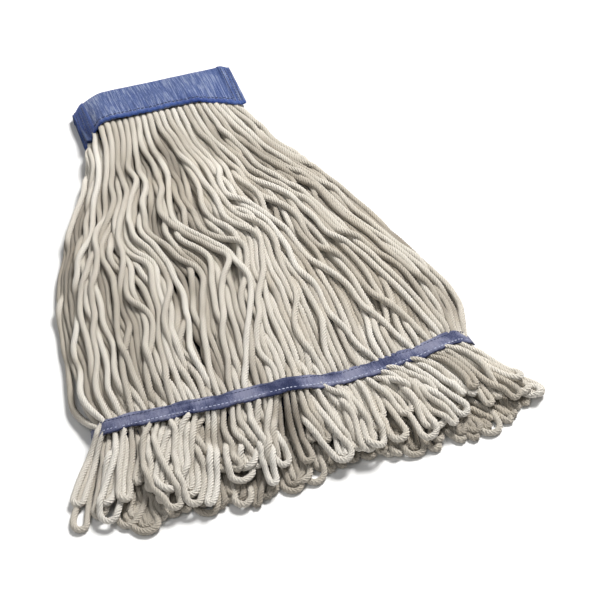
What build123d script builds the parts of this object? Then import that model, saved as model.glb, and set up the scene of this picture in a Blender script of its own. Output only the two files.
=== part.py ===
"""String mop: a looped-end cotton mop head with a folded woven headband and sewn tail bands.

Frame: +Y towards the headband, +X right, +Z up, millimetres. The origin is under the middle of the
mop, on the surface it lies on. The headband is folded over the strands at its crease, so there is
an upper half and a lower half. Each half is a headband flap, a skirt of strands, a tail band and a
fringe of loops.
"""
import os
from math import pi, radians, tan

from build123d import *

# ---------------------------------------------------------------- driving dimensions
LENGTH = 480.0            # crease to the end of the loops
CREASE_Y = LENGTH / 2     # the outside of the headband's fold
CREASE_R = 7.0            # outer radius of the fold
BAND_HALF = 75.0          # half of the headband's width
BAND_REACH = 54.0         # crease to the flap's lower edge, level with the ground
FLAP_EDGE_TOP = 32.0      # outer face of the upper flap at its lower edge
FABRIC = 1.0              # headband cloth
HEM = 1.6                 # folded hems of the same cloth
HEM_DEPTH = 6.0           # edge hem, crease to edge direction
SIDE_HEM = 11.0           # side hems, along the width
CORE_IN = 1.8             # from the outer face to the yarn inside the band
LINER = 0.6               # inner cloth
THREAD = 0.4              # sewing thread
SEAM_INSET = 3.0          # from a hem's edge to the nearest sewn row
SECOND_SEAM = 16.0        # from the lower flap's edge to its second sewn row
SIDE_ROWS = 3             # sewn rows down each side hem
ROW_STEP = 3.2            # between those rows

YARN = 5.0                # strand diameter
TAIL_Y = CREASE_Y - 385.0     # middle of the tail bands
TAIL_TAPE = 14.0              # tape width
TAPE = 1.0                    # tape thickness
TAIL_HALF = 158.0             # half of the tail band's length
TAIL_X = 9.0                  # middle of the tail band
TAIL_TOP = 31.0               # outer face of the upper tail band at its middle
HALF_GAP = 1.0                # from the parting surface to each half
LOCK_GAP = 0.4                # from a lock's side to its share's edge
LOCKS = 6                     # locks of strands, and of loops, in each half
TAIL_STEPS = 12               # straight stretches along a tail band
JOINT_GAP = 1.0           # between bodies at a flexing line
FOLD_GAP = 0.6            # between the two flaps' layers at the fold
LAYER_GAP = 0.1           # between neighbouring layers of one flap

FOLD_Z = CREASE_R                      # height of the parting surface at the crease
ARC_Y = CREASE_Y - CREASE_R            # where the fold's round starts
EDGE_Y = CREASE_Y - BAND_REACH         # the flaps' lower edge
TAIL_TOP_Y = TAIL_Y + TAIL_TAPE / 2    # the tail band's edge towards the headband
TAIL_LOW_Y = TAIL_Y - TAIL_TAPE / 2    # the tail band's edge towards the loops
FLAP_RISE = (FLAP_EDGE_TOP - 2 * CREASE_R) / (ARC_Y - EDGE_Y)   # slope of the upper flap

# The handle channel inside the fold, and the parting between the flaps in front of it
CHANNEL_R = 2.8
CHANNEL_END_Y = ARC_Y - 17.0
FLAPS_MEET_Y = CHANNEL_END_Y - 8.0
LOWER_FACE = [(ARC_Y, FOLD_Z - CHANNEL_R), (CHANNEL_END_Y, 4.4), (FLAPS_MEET_Y, 10.0), (EDGE_Y, 15.2)]
UPPER_FACE = [(ARC_Y, FOLD_Z + CHANNEL_R), (CHANNEL_END_Y, 9.9), (FLAPS_MEET_Y, 11.0), (EDGE_Y, 16.6)]

# Skirt: (distance from the crease, half-width left, half-width right, top at the middle)
SKIRT = [
    (BAND_REACH + JOINT_GAP, 76.0, 77.0, 31.0),
    (110.0, 95.0, 102.0, 40.5),
    (165.0, 125.0, 125.0, 45.5),
    (235.0, 146.0, 149.0, 48.0),
    (300.0, 160.0, 169.0, 45.0),
    (350.0, 162.0, 175.0, 39.0),
    (377.0, 153.0, 170.0, 33.0),
]
# Fringe: (distance from the crease, half-width left, half-width right, top, parting height)
FRINGE = [
    (CREASE_Y - TAIL_LOW_Y + JOINT_GAP, 156.0, 172.0, 31.0, 15.0),
    (415.0, 164.0, 190.0, 31.0, 15.0),
    (440.0, 168.0, 192.4, 28.0, 13.0),
    (LENGTH, 160.0, 160.0, 17.0, 9.0),
]
SKIRT_PARTING = 16.0      # height of the surface between the halves at the middle
SIDE_PARTING = 0.45       # its height at the sides, as a share of the middle's
SIDE_THICKNESS = 0.42     # thickness at the sides, as a share of the middle's

# Stray loop, lying on the surface beside the fringe: out, round its tip and back
STRAY_ROUTE = [
    (-166, -146, 8.0),
    (-171, -158, 5.0),
    (-175.5, -171, 2.7),
    (-181, -183, 2.7),
    (-184.5, -195, 2.7),
    (-188.6, -204, 2.7),
    (-190.2, -212, 2.7),
    (-187.8, -218.4, 2.7),
    (-180.2, -218.6, 2.7),
    (-178.6, -210.4, 2.7),
    (-175.2, -197.5, 2.7),
    (-173, -185, 2.7),
    (-169.2, -172.5, 2.7),
    (-165, -160.5, 5.0),
    (-160.5, -149.5, 8.0),
]


def save(shape, node):
    """Write one node's STEP file."""
    shape.label = node
    export_step(shape, f"parts/{node}.step")


# ---------------------------------------------------------------- headband
def flap_face(side, outer, inner):
    """The Y-Z section of one layer of a flap. side is -1 for the lower flap and 1 for the upper.
    outer and inner are (radius at the fold, flat points from the fold to the edge)."""
    edges = []
    for radius, flat in (outer, inner):
        start = 0 if side > 0 else -90
        arc = Edge.make_circle(radius, Plane(origin=(ARC_Y, FOLD_Z, 0)), start, start + 90)
        line = Polyline(*[(y, z, 0) for y, z in flat]).edges()
        edges += [arc, *line]
    crease_end = Edge.make_line((ARC_Y + outer[0], FOLD_Z, 0), (ARC_Y + inner[0], FOLD_Z, 0))
    free_end = Edge.make_line((*outer[1][-1], 0), (*inner[1][-1], 0))
    return Face(Wire(edges + [crease_end, free_end]))


def across(face, x0, x1):
    """Stand a section, drawn as (Y, Z) in the XY plane, up in the Y-Z plane and extrude it along X."""
    solid = extrude(face, amount=x1 - x0, dir=(0, 0, 1))
    return Plane(origin=(x0, 0, 0), x_dir=(0, 1, 0), z_dir=(1, 0, 0)).from_local_coords(solid)


def outer_line(side, depth, end_y):
    """A line depth under a flap's outer face, from the fold to end_y."""
    if side < 0:
        return CREASE_R - depth, [(ARC_Y, depth), (end_y, depth)]
    top = 2 * CREASE_R - depth
    return CREASE_R - depth, [(ARC_Y, top), (end_y, top + FLAP_RISE * (ARC_Y - end_y))]


def inner_line(side, lift):
    """A line lift behind a flap's inner face, from the fold to the edge."""
    face = LOWER_FACE if side < 0 else UPPER_FACE
    return CHANNEL_R + lift, [(y, z + side * lift) for y, z in face]


def at_the_fold(shape):
    """Cut a layer back from the fold's middle, so that the two flaps' layers don't touch there."""
    slab = Pos(0, CREASE_Y, FOLD_Z) * Box(4 * BAND_HALF, 4 * CREASE_R, FOLD_GAP)
    return shape - slab


def band_layers(side, half):
    """The cloth, hems, yarn and liner of one flap."""
    inside = BAND_HALF - SIDE_HEM
    cloth_end = EDGE_Y + HEM_DEPTH + LAYER_GAP
    cloth = flap_face(side, outer_line(side, 0, cloth_end), outer_line(side, FABRIC, cloth_end))
    hem = flap_face(side, outer_line(side, 0, EDGE_Y), outer_line(side, HEM, EDGE_Y))
    yarn = flap_face(side, outer_line(side, CORE_IN, EDGE_Y), inner_line(side, LINER + LAYER_GAP))
    liner = flap_face(side, inner_line(side, LINER), inner_line(side, 0))
    save(at_the_fold(across(cloth, -inside + LAYER_GAP, inside - LAYER_GAP)), f"{half}_band_cloth")
    save(at_the_fold(across(hem, -BAND_HALF, -inside)), f"{half}_side_hem_left")
    save(at_the_fold(across(hem, inside, BAND_HALF)), f"{half}_side_hem_right")
    save(at_the_fold(across(yarn, -BAND_HALF + 2, BAND_HALF - 2)), f"{half}_band_yarn")
    save(at_the_fold(across(liner, -BAND_HALF + 1, BAND_HALF - 1)), f"{half}_band_liner")
    top = outer_line(side, 0, EDGE_Y)[1][1][1]
    rise = FLAP_RISE * HEM_DEPTH if side > 0 else 0
    strip = Polyline((EDGE_Y, top, 0), (EDGE_Y + HEM_DEPTH, top - rise, 0),
                     (EDGE_Y + HEM_DEPTH, top - rise - side * HEM, 0),
                     (EDGE_Y, top - side * HEM, 0), close=True)
    save(across(Face(Wire(strip.edges())), -inside + LAYER_GAP, inside - LAYER_GAP), f"{half}_edge_hem")


def rib(x0, x1, points):
    """A sewn row: a thread-thick ridge on the line through points, from x0 to x1."""
    raised = [(y, z + THREAD, 0) for y, z in reversed(points)]
    outline = Polyline(*[(y, z, 0) for y, z in points], *raised, close=True)
    return across(Face(Wire(outline.edges())), x0, x1)


def upper_stitching():
    """Three rows down each side hem and one along the edge hem, on the outer face."""
    def top(y):
        return 2 * CREASE_R + FLAP_RISE * (ARC_Y - y)

    rows = []
    down = [(EDGE_Y + SEAM_INSET, top(EDGE_Y + SEAM_INSET)), (ARC_Y - SEAM_INSET, top(ARC_Y - SEAM_INSET))]
    for end in (-1, 1):
        for row in range(SIDE_ROWS):
            middle = end * (BAND_HALF - SEAM_INSET - ROW_STEP * row)
            rows.append(rib(middle - THREAD / 2, middle + THREAD / 2, down))
    y = EDGE_Y + SEAM_INSET
    inside = BAND_HALF - SIDE_HEM - LAYER_GAP
    rows.append(rib(-inside, inside, [(y, top(y)), (y + THREAD, top(y + THREAD))]))
    return Compound(children=rows)


def lower_stitching():
    """Two rows along the lower flap, on its inner face."""
    (y0, z0), (y1, z1) = LOWER_FACE[2:]
    slope = (z1 - z0) / (y1 - y0)
    rows = []
    for y in (EDGE_Y + SEAM_INSET, EDGE_Y + SECOND_SEAM):
        line = [(y, z0 + slope * (y - y0)), (y + THREAD, z0 + slope * (y + THREAD - y0))]
        rows.append(rib(-BAND_HALF + SEAM_INSET, BAND_HALF - SEAM_INSET, line))
    return Compound(children=rows)


# ---------------------------------------------------------------- locks of strands and loops
def side_fall(u):
    """Share of the middle's thickness that is left at u, from -1 at the left side to 1."""
    return SIDE_THICKNESS + (1 - SIDE_THICKNESS) * (1 - abs(u) ** 2.4)


def parting(u, middle):
    """Height of the surface between the two halves."""
    return middle * (SIDE_PARTING + (1 - SIDE_PARTING) * (1 - u ** 4))


def section(y, left, right, top, middle, lock, side):
    """One lock's four-cornered section across the mop at y."""
    corners = []
    for n in (lock, lock + 1):
        u = -1 + 2 * n / LOCKS
        x = u * (left if u < 0 else right)
        x += LOCK_GAP if n == lock else -LOCK_GAP
        low = parting(u, middle) + HALF_GAP
        if side > 0:
            corners.append((x, low, low + (top - middle - HALF_GAP) * side_fall(u)))
        else:
            corners.append((x, 0.0, low - 2 * HALF_GAP))
    (xa, low_a, high_a), (xb, low_b, high_b) = corners
    points = [(xa, y, low_a), (xb, y, low_b), (xb, y, high_b), (xa, y, high_a)]
    return Wire.make_polygon([Vector(*p) for p in points], close=True)


def strand_lock(lock, side):
    """A lock of the skirt, from the headband's edge to the tail band."""
    wires = []
    for along, left, right, top in SKIRT:
        wires.append(section(CREASE_Y - along, left, right, top, SKIRT_PARTING, lock, side))
    return Solid.make_loft(wires, ruled=True)


def loop_lock(lock, side):
    """A lock of the fringe, from the tail band to the end of the loops."""
    wires = []
    for along, left, right, top, middle in FRINGE:
        wires.append(section(CREASE_Y - along, left, right, top, middle, lock, side))
    return Solid.make_loft(wires, ruled=True)


# ---------------------------------------------------------------- tail bands
def tail_line(side, outer, depth, half):
    """Points across the tail band, (X, Z), depth inside its outer or its inner face."""
    points = []
    for n in range(TAIL_STEPS + 1):
        u = -1 + 2 * n / TAIL_STEPS
        under = parting(u, SKIRT_PARTING - 1) + HALF_GAP
        if side > 0:
            z = under + (TAIL_TOP - SKIRT_PARTING) * side_fall(u) - depth if outer else under + depth
        else:
            z = depth if outer else under - 2 * HALF_GAP - depth
        points.append((TAIL_X + u * half, z))
    return points


def along_tail(top, bottom, inset):
    """A solid between two lines of points, as long as the tape is wide, less inset at each edge."""
    outline = Wire.make_polygon([Vector(x, TAIL_TOP_Y - inset, z) for x, z in top + bottom[::-1]],
                                close=True)
    return extrude(Face(outline), amount=TAIL_TAPE - 2 * inset, dir=(0, -1, 0))


def tail_core(side):
    """The strands inside the tail band."""
    depth = TAPE + 3 * LAYER_GAP
    half = TAIL_HALF - 1
    above = tail_line(side, True, depth, half)
    below = tail_line(side, False, depth, half)
    return along_tail(above, below, 2 * LAYER_GAP)


def tail_tape(side, outer):
    """The tape on the outer face, or on the inner face, of a half's tail band."""
    return along_tail(tail_line(side, outer, 0, TAIL_HALF), tail_line(side, outer, TAPE, TAIL_HALF), 0)


def tail_stitching(side):
    """Two rows of thread along the tail band: on the outer face above, on the inner face below."""
    outer = side > 0
    tape = tail_tape(side, outer)
    raised = Pos(0, 0, THREAD) * tape
    slice_box = Box(2 * (TAIL_HALF - SEAM_INSET), THREAD, 4 * TAIL_TOP)
    rows = []
    for offset in (SEAM_INSET, TAIL_TAPE - SEAM_INSET):
        window = Pos(TAIL_X, TAIL_TOP_Y - offset, 0) * slice_box
        rows += ((raised & window) - tape).solids()
    return Compound(children=rows)


# ---------------------------------------------------------------- stray loop
def corner_radii(route):
    """Each inner corner's radius: 0.45 of the shorter run over the tangent of half the turn."""
    points = [Vector(*p) for p in route]
    radii = []
    for before, here, after in zip(points, points[1:], points[2:]):
        turn = (here - before).get_angle(after - here)
        shorter = min((here - before).length, (after - here).length)
        radii.append(0.45 * shorter / tan(radians(turn) / 2))
    return radii


def stray_loop():
    """One strand that leaves the fringe at the left, turns round and goes back in."""
    radii = corner_radii(STRAY_ROUTE)
    path = FilletPolyline(*STRAY_ROUTE, radius=radii)
    start = Plane(origin=path @ 0, z_dir=path % 0)
    tube = sweep(start * Circle(YARN / 2), path=path)
    print("stray_loop radii", [round(r, 1) for r in radii])
    print("stray_loop length", round(path.length, 1), "volume ratio",
          round(tube.volume / (path.length * pi * YARN ** 2 / 4), 4))
    return tube


# ---------------------------------------------------------------- build
os.makedirs("parts", exist_ok=True)
for half, side in (("lower", -1), ("upper", 1)):
    band_layers(side, half)
    for lock in range(LOCKS):
        save(strand_lock(lock, side), f"{half}_strands_{lock + 1}")
        save(loop_lock(lock, side), f"{half}_loops_{lock + 1}")
    save(tail_tape(side, True), f"{half}_tail_tape_outer")
    save(tail_tape(side, False), f"{half}_tail_tape_inner")
    save(tail_core(side), f"{half}_tail_yarn")
    save(tail_stitching(side), f"{half}_tail_stitching")
save(upper_stitching(), "upper_band_stitching")
save(lower_stitching(), "lower_band_stitching")
save(stray_loop(), "stray_loop")
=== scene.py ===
"""String mop head lying on a pale floor: woven headband, two skirts of plied yarn, tail bands and loops.

Lengths are worked out in millimetres in the model's own frame (+Y to the headband, +X right, +Z up)
and become metres when a mesh is made. "along" is the distance from the headband's crease.
"""
import math

import bpy
import numpy as np
from mathutils import Matrix, Vector


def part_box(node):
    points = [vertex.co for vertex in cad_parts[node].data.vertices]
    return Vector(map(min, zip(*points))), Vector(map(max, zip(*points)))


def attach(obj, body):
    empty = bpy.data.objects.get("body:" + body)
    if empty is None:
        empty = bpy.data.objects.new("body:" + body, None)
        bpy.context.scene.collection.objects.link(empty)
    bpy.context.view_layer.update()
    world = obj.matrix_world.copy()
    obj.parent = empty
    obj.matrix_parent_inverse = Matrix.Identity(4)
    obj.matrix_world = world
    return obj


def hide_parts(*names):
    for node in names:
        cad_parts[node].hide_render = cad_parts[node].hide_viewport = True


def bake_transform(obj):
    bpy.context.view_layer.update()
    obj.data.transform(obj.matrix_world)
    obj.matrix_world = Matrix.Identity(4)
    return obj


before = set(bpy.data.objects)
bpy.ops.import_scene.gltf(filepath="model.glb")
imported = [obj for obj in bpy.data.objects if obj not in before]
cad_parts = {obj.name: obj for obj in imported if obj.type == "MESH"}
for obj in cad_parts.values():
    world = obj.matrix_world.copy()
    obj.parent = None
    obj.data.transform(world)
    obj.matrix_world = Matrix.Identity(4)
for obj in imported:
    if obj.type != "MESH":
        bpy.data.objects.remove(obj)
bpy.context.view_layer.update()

MM = 0.001


def box_mm(node):
    """A CAD node's lowest and highest corners in millimetres."""
    low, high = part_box(node)
    return np.array(low) / MM, np.array(high) / MM


# ---------------------------------------------------------------- places, from the frame
BAND_HALF = box_mm("upper_side_hem_right")[1][0]
EDGE_Y, FLAP_TOP = box_mm("upper_edge_hem")[0][1], box_mm("upper_edge_hem")[1][2]
CREASE_Y = box_mm("upper_side_hem_right")[1][1]
TAIL_LOW, TAIL_HIGH = box_mm("upper_tail_tape_outer")
TAIL_LEFT, TAIL_RIGHT = TAIL_LOW[0], TAIL_HIGH[0]
TAIL_MID_Y = (TAIL_LOW[1] + TAIL_HIGH[1]) / 2
TAPE_WIDTH = TAIL_HIGH[1] - TAIL_LOW[1]

# The headband's cloth: radius of its fold, its length round the fold, and the shares of that length where
# the fold begins and ends
FOLD_R = 7.0
FOLD_ARC_Y = CREASE_Y - FOLD_R
BAND_RUN = 122.0
UPPER_S, LOWER_S = 0.42, 0.60
# Width of a side hem, and where the seams along the two run
SIDE_HEM = 11.0
SIDE_SEAMS = (-72.6, -69.4, -66.2, 66.2, 69.4, 72.6)

# ---------------------------------------------------------------- yarn
# Radii of a free strand and of one squeezed in the tail band
YARN_R, TAIL_R = 2.65, 2.1
# Plies in a strand, and the length of one turn
PLIES, PLY_PITCH = 6, 16.0
# A tube's corners, their sizes on a ply and in a groove, and the distance between its rings
SIDES = 12
CREST, GROOVE = 1.08, 0.97
RING = 1.8
# Distance between a settling strand's points, and a loop's
STEP, LOOP_STEP = 4.0, 3.2
STRANDS = 120
LOOP_CORDS = 18
# Strands in each row inside the headband, from the top, and where a row begins and ends
BAND_ROWS = (26, 25, 24, 23, 22)
FIRST_X, LAST_X = -70, 69
# Half the bundle's width where it leaves the headband
BUNDLE_HALF = 77

# The mop's plan: along, reach to the left, reach to the right, top at the middle
LEFT, RIGHT, TOP = 1, 2, 3
PLAN = np.array([
    (40, 74, 72, 28), (55, 76, 73, 31), (85, 84, 83, 36), (110, 94, 97, 40.5), (165, 125, 124, 45.5),
    (200, 139, 137, 47), (235, 148, 150, 48), (300, 157, 172, 45), (345, 166, 177, 39.5), (385, 156, 170, 33),
    (415, 166, 190, 31), (440, 172, 196, 27), (490, 165, 165, 14),
], float)
# Height between the halves, and the lower half's width as a share of the upper one's
PARTING = 16.0
LOWER_SHARE = 0.90
# Distances between strands: stacked loosely in the skirt, in rows at the headband, in the tail band's layers
STACK_GAP, ROW_GAP, LAYER_GAP = 4.9, 4.2, 4.6
# How far the middle of a strand on top lies under the mop's surface
SKIN = 3.0

# Flow of the upper strands, left to right: where each line is, at the distances in FLOW_ALONG
FLOW_ALONG = (55, 100, 150, 200, 240, 290, 345, 385)
BAND_END, TAIL_START = FLOW_ALONG[0], FLOW_ALONG[-1]
FLOW = np.array([
    (-74, -88, -114, -133, -143, -152, -163, -145),
    (-62, -66, -82, -108, -120, -136, -148, -138),
    (-50, -54, -66, -86, -94, -112, -127, -130),
    (-43, -50, -64, -80, -65, -76, -84, -92),
    (-37, -45, -57, -72, -50, -56, -69, -70),
    (-29, -34, -43, -56, -26, -28, -41, -46),
    (-18, -20, -21, -24, 6, -3, -19, -25),
    (-8, -3, 4, 7, 23, 13, 1, -4),
    (-1, 1, 8, 18, 26, 26, 20, 18),
    (4, 5, 12, 22, 31, 34, 38, 50),
    (9, 9, 18, 29, 40, 56, 73, 95),
    (15, 17, 29, 44, 58, 84, 108, 128),
    (24, 26, 39, 60, 79, 103, 125, 141),
    (35, 42, 58, 84, 102, 127, 142, 151),
    (48, 58, 80, 108, 126, 148, 160, 157),
    (70, 88, 115, 135, 150, 168, 176, 163),
], float)

# How far the loops reach sideways and towards -Y, from the tail band's left end (0) to its right end (1)
FRINGE_SWEEP = ((0, 0.3, 0.5, 0.65, 0.8, 0.92, 1), (-22, -15, -3, 11, 28, 39, 38))
UPPER_DROP = ((0, 0.1, 0.3, 0.45, 0.6, 0.8, 0.9, 1), (74, 80, 79, 74, 67, 71, 72, 66))
LOWER_DROP = ((0, 0.05, 0.11, 0.17, 0.3, 0.37, 0.5, 0.6, 0.75, 0.85, 1),
              (77, 72, 85, 70, 73, 80, 62, 62, 73, 76, 64))

# Extra sideways lean of each bunch of loops, left to right: neighbouring bunches part or meet
CLUMPS = (-6, 11, -9, 10, -8, 8, -8, 8, -4, 0)
# Distances between a loop's two legs, and how often each occurs
LOOP_WIDTHS, LOOP_ODDS = (5.6, 8.0, 13.0, 19.0), (0.36, 0.28, 0.22, 0.14)


def smooth(t):
    """0 up to t = 0, 1 from t = 1 on, and an S curve between."""
    t = np.clip(t, 0.0, 1.0)
    return t * t * (3 - 2 * t)


def plan(column, along):
    """LEFT, RIGHT or TOP of the mop's plan at along."""
    return np.interp(along, PLAN[:, 0], PLAN[:, column])


def across(x, along):
    """Where x lies between the mop's sides, from -1 to 1."""
    return np.clip(np.where(x < 0, x / plan(LEFT, along), x / plan(RIGHT, along)), -1, 1)


def parting(x, along):
    """Height of the surface between the halves. The upper half folds down past the lower one's sides."""
    middle = PARTING - 7.0 * smooth((along - 400) / 80)
    u = across(x, along)
    return middle * (0.45 + 0.55 * (1 - u ** 4)) * (1 - 0.7 * smooth((np.abs(u) - LOWER_SHARE) / 0.08))


def top(x, along):
    """Height of the upper half's surface, with the hollow where the strands part."""
    u = across(x, along)
    rise = (plan(TOP, along) - PARTING - 1) * (0.42 + 0.58 * (1 - np.abs(u) ** 2.4))
    hollow = 13.0 * np.exp(-((x - 78) / 46) ** 2) * smooth((along - 270) / 110) * smooth((470 - along) / 60)
    ridge = 2.5 * np.exp(-((x + 2) / 22) ** 2) * smooth((along - 300) / 80) * smooth((430 - along) / 30)
    lumps = 1.3 * np.sin(x / 8.7 + along / 47) * np.sin(along / 31 + x / 50) * smooth((along - 60) / 40)
    lumps = lumps * smooth((375 - along) / 40)
    return np.maximum(parting(x, along) + 1 + rise - hollow + ridge + lumps, parting(x, along) + 7)


def tail_y(x):
    """The tail band bows towards the loops in its middle."""
    share = (x - TAIL_LEFT) / (TAIL_RIGHT - TAIL_LEFT)
    return TAIL_MID_Y + 9.0 - 19.0 * np.sin(np.pi * np.clip(share, 0, 1)) ** 0.8 + 4.0 * (share - 0.5)


def tail_top(x):
    """Height of the upper surface along the tail band."""
    return top(x, CREASE_Y - tail_y(x))


# ---------------------------------------------------------------- strand relaxation
def near_pairs(pos, reach, strand, place):
    """Pairs of points nearer than reach, except neighbours along one strand."""
    cell = np.floor(pos / reach).astype(np.int64)
    cell -= cell.min(0) - 1
    _, ny, nz = cell.max(0) + 3
    key = (cell[:, 0] * ny + cell[:, 1]) * nz + cell[:, 2]
    order = np.argsort(key, kind="stable")
    ranked = key[order]
    steps = [(0, 0, 0)] + [(i, j, k) for i in (-1, 0, 1) for j in (-1, 0, 1) for k in (-1, 0, 1)
                           if (i, j, k) > (0, 0, 0)]
    firsts, seconds = [], []
    for i, j, k in steps:
        target = key + (i * ny + j) * nz + k
        low = np.searchsorted(ranked, target, "left")
        high = np.searchsorted(ranked, target, "right")
        for turn in range(int((high - low).max())):
            a = np.nonzero(low + turn < high)[0]
            b = order[low[a] + turn]
            keep = a < b if (i, j, k) == (0, 0, 0) else np.ones(len(a), bool)
            firsts.append(a[keep])
            seconds.append(b[keep])
    a, b = np.concatenate(firsts), np.concatenate(seconds)
    keep = (strand[a] != strand[b]) | (np.abs(place[a] - place[b]) > 3)
    a, b = a[keep], b[keep]
    keep = ((pos[a] - pos[b]) ** 2).sum(1) < reach * reach
    return a[keep], b[keep]


def scatter(index, vectors, count):
    """Add vectors up at their indices."""
    return np.stack([np.bincount(index, vectors[:, n], count) for n in range(3)], 1)


# Drop at each step, and how strongly a strand's own curve and its planned place hold it
FALL, STIFF, HOME = 0.22, 0.35, 0.05


def relax(paths, floor, ceiling, slack, steps):
    """Let strands of fixed length settle: they push apart, bend stiffly, rest on floor(x, along), stay
    below ceiling(x, along) and keep near their plan. paths is a list of (points, radii, held), and slack
    each one's spare length as a share."""
    count = [len(p[0]) for p in paths]
    pos = np.concatenate([p[0] for p in paths])
    rad = np.concatenate([p[1] for p in paths])
    free = np.concatenate([~p[2] for p in paths]).astype(float)[:, None]
    strand = np.repeat(np.arange(len(paths)), count)
    place = np.concatenate([np.arange(c) for c in count])
    seg = np.nonzero(strand[1:] == strand[:-1])[0]
    inner = seg[1:][np.diff(seg) == 1]
    rest = np.linalg.norm(pos[seg + 1] - pos[seg], axis=1) * (1 + np.repeat(slack, count)[seg])
    total = len(pos)
    reach = 2 * YARN_R + 1.0
    curl = 0.5 * (pos[inner - 1] + pos[inner + 1]) - pos[inner]
    curl[:, 2] = 0
    start = pos.copy()
    along = CREASE_Y - start[:, 1]
    in_skirt = (along > 60) & (along < 388)
    for step in range(steps):
        late = step / steps
        pos[:, 2:] -= FALL * free * (1.0 if late < 0.8 else 0.4)
        pos[:, :2] += HOME * free * (start - pos)[:, :2]
        pull = 0.5 * (pos[inner - 1] + pos[inner + 1]) - pos[inner] - curl
        pos[inner] += STIFF * pull * free[inner]
        if step % 4 == 0:
            a, b = near_pairs(pos, reach, strand, place)
        apart = pos[a] - pos[b]
        distance = np.linalg.norm(apart, axis=1) + 1e-9
        gap = (rad[a] + rad[b]) - distance
        hit = gap > 0
        push = apart[hit] / distance[hit, None] * (0.5 * gap[hit, None])
        moved = scatter(a[hit], push, total) - scatter(b[hit], push, total)
        hits = np.bincount(a[hit], minlength=total) + np.bincount(b[hit], minlength=total)
        pos += moved / np.maximum(1.0, 0.55 * hits)[:, None] * free
        for _ in range(2):
            line = pos[seg + 1] - pos[seg]
            length = np.linalg.norm(line, axis=1) + 1e-9
            pull = line * (0.5 * (length - rest) / length)[:, None]
            moved = scatter(seg, pull, total) - scatter(seg + 1, pull, total)
            pos += 0.9 * moved * free
        x, along = pos[:, 0], CREASE_Y - pos[:, 1]
        sides = np.clip(x, rad - plan(LEFT, along), plan(RIGHT, along) - rad)
        pos[:, 0] = np.where(in_skirt & (free[:, 0] > 0), sides, x)
        low = floor(x, along) + rad
        pos[:, 2] = np.where(free[:, 0] > 0, np.maximum(pos[:, 2], low), pos[:, 2])
        if ceiling is not None:
            high = np.maximum(ceiling(x, along) - rad, low)
            pos[:, 2] = np.where(free[:, 0] > 0, np.minimum(pos[:, 2], high), pos[:, 2])
    ends = np.cumsum(count)
    return [pos[e - c:e] for e, c in zip(ends, count)]


def run_along(points):
    """Distance from the first point to each point of a polyline."""
    return np.concatenate([[0], np.cumsum(np.linalg.norm(np.diff(points, axis=0), axis=1))])


def resample(points, spacing):
    """Points evenly spaced along a polyline."""
    length = run_along(points)
    count = max(4, int(round(length[-1] / spacing)) + 1)
    want = np.linspace(0, length[-1], count)
    return np.stack([np.interp(want, length, points[:, n]) for n in range(3)], 1)


def curve_through(points, spacing):
    """A smooth curve through points, evenly sampled."""
    padded = np.vstack([2 * points[0] - points[1], points, 2 * points[-1] - points[-2]])
    t = np.linspace(0, 1, 6, endpoint=False)[:, None]
    pieces = []
    for p0, p1, p2, p3 in zip(padded, padded[1:], padded[2:], padded[3:]):
        pieces.append(0.5 * (2 * p1 + (p2 - p0) * t + (2 * p0 - 5 * p1 + 4 * p2 - p3) * t ** 2
                             + (3 * p1 - p0 - 3 * p2 + p3) * t ** 3))
    return resample(np.vstack(pieces + [points[-1:]]), spacing)


# ---------------------------------------------------------------- the strands' starting lines
def flow_x(line, along):
    """x of the flow line numbered line (any number between two lines) at each along."""
    here = np.stack([np.interp(line, np.arange(len(FLOW)), FLOW[:, n]) for n in range(len(FLOW_ALONG))])
    fine = np.linspace(FLOW_ALONG[0], FLOW_ALONG[-1], 60)
    x = np.interp(fine, FLOW_ALONG, here)
    kernel = np.array([1, 2, 3, 2, 1], float) / 9
    ends = np.concatenate([np.full(2, x[0]), x, np.full(2, x[-1])])
    x = np.convolve(ends, kernel, "valid")
    x[0], x[-1] = here[0], here[-1]
    return np.interp(along, fine, x)


def line_at(x, column):
    """The flow line that passes x at one of the flow's distances."""
    return np.interp(x, FLOW[:, column], np.arange(len(FLOW)))


def tail_slots(upper):
    """x of each pair of strands along the tail band, evenly spaced along its curve."""
    share, inset = 1.0 if upper else LOWER_SHARE, 4.5
    x = np.linspace(share * TAIL_LEFT + inset, share * TAIL_RIGHT - inset, 400)
    curve = np.stack([x, tail_y(x), tail_top(x)], 1)
    run = run_along(curve)
    return np.interp(np.linspace(0, run[-1], STRANDS // 2), run, x)


def tail_heights(x, layer, upper):
    """Height of a strand's middle between its half's tail tapes; layer 0 is the higher one."""
    outer_tape, inner_tape = 1.2, 1.0
    between = parting(x, CREASE_Y - tail_y(x))
    if upper:
        high, low = tail_top(x) - outer_tape - TAIL_R, between + inner_tape + TAIL_R
        return high - layer * min(high - low, LAYER_GAP)
    high, low = between - inner_tape - TAIL_R, outer_tape + TAIL_R
    return low + (1 - layer) * min(high - low, LAYER_GAP)


def meander(rng, share, along, size):
    """Side-to-side waves, partly shared by neighbouring strands; the right side hangs straighter."""
    wave = np.zeros_like(along)
    for length, height, spread in ((128, 2.6, 4.0), (76, 1.8, 8.0), (47, 0.8, 15.0)):
        wave += height * np.sin(2 * np.pi * along / length + spread * share + length)
    for height, shortest, longest in ((2.4, 58, 105), (1.5, 36, 56)):
        wave += (rng.uniform(0.35, 1.0) * height * (1 - 0.65 * smooth((share - 0.1) / 0.5))
                 * np.sin(2 * np.pi * along / rng.uniform(shortest, longest) + rng.uniform(0, 6.3)))
    return size * wave * (1 - 0.6 * abs(share) ** 3)


def band_edge_top(x):
    """Height of the upper flap's lower edge: it drops at the left end and droops at the right."""
    left = 28.0 * smooth((-55 - x) / 21.0) ** 1.25
    right = 11.0 * smooth((x - 28) / 47.0)
    return FLAP_TOP + 2.0 - left - right


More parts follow.
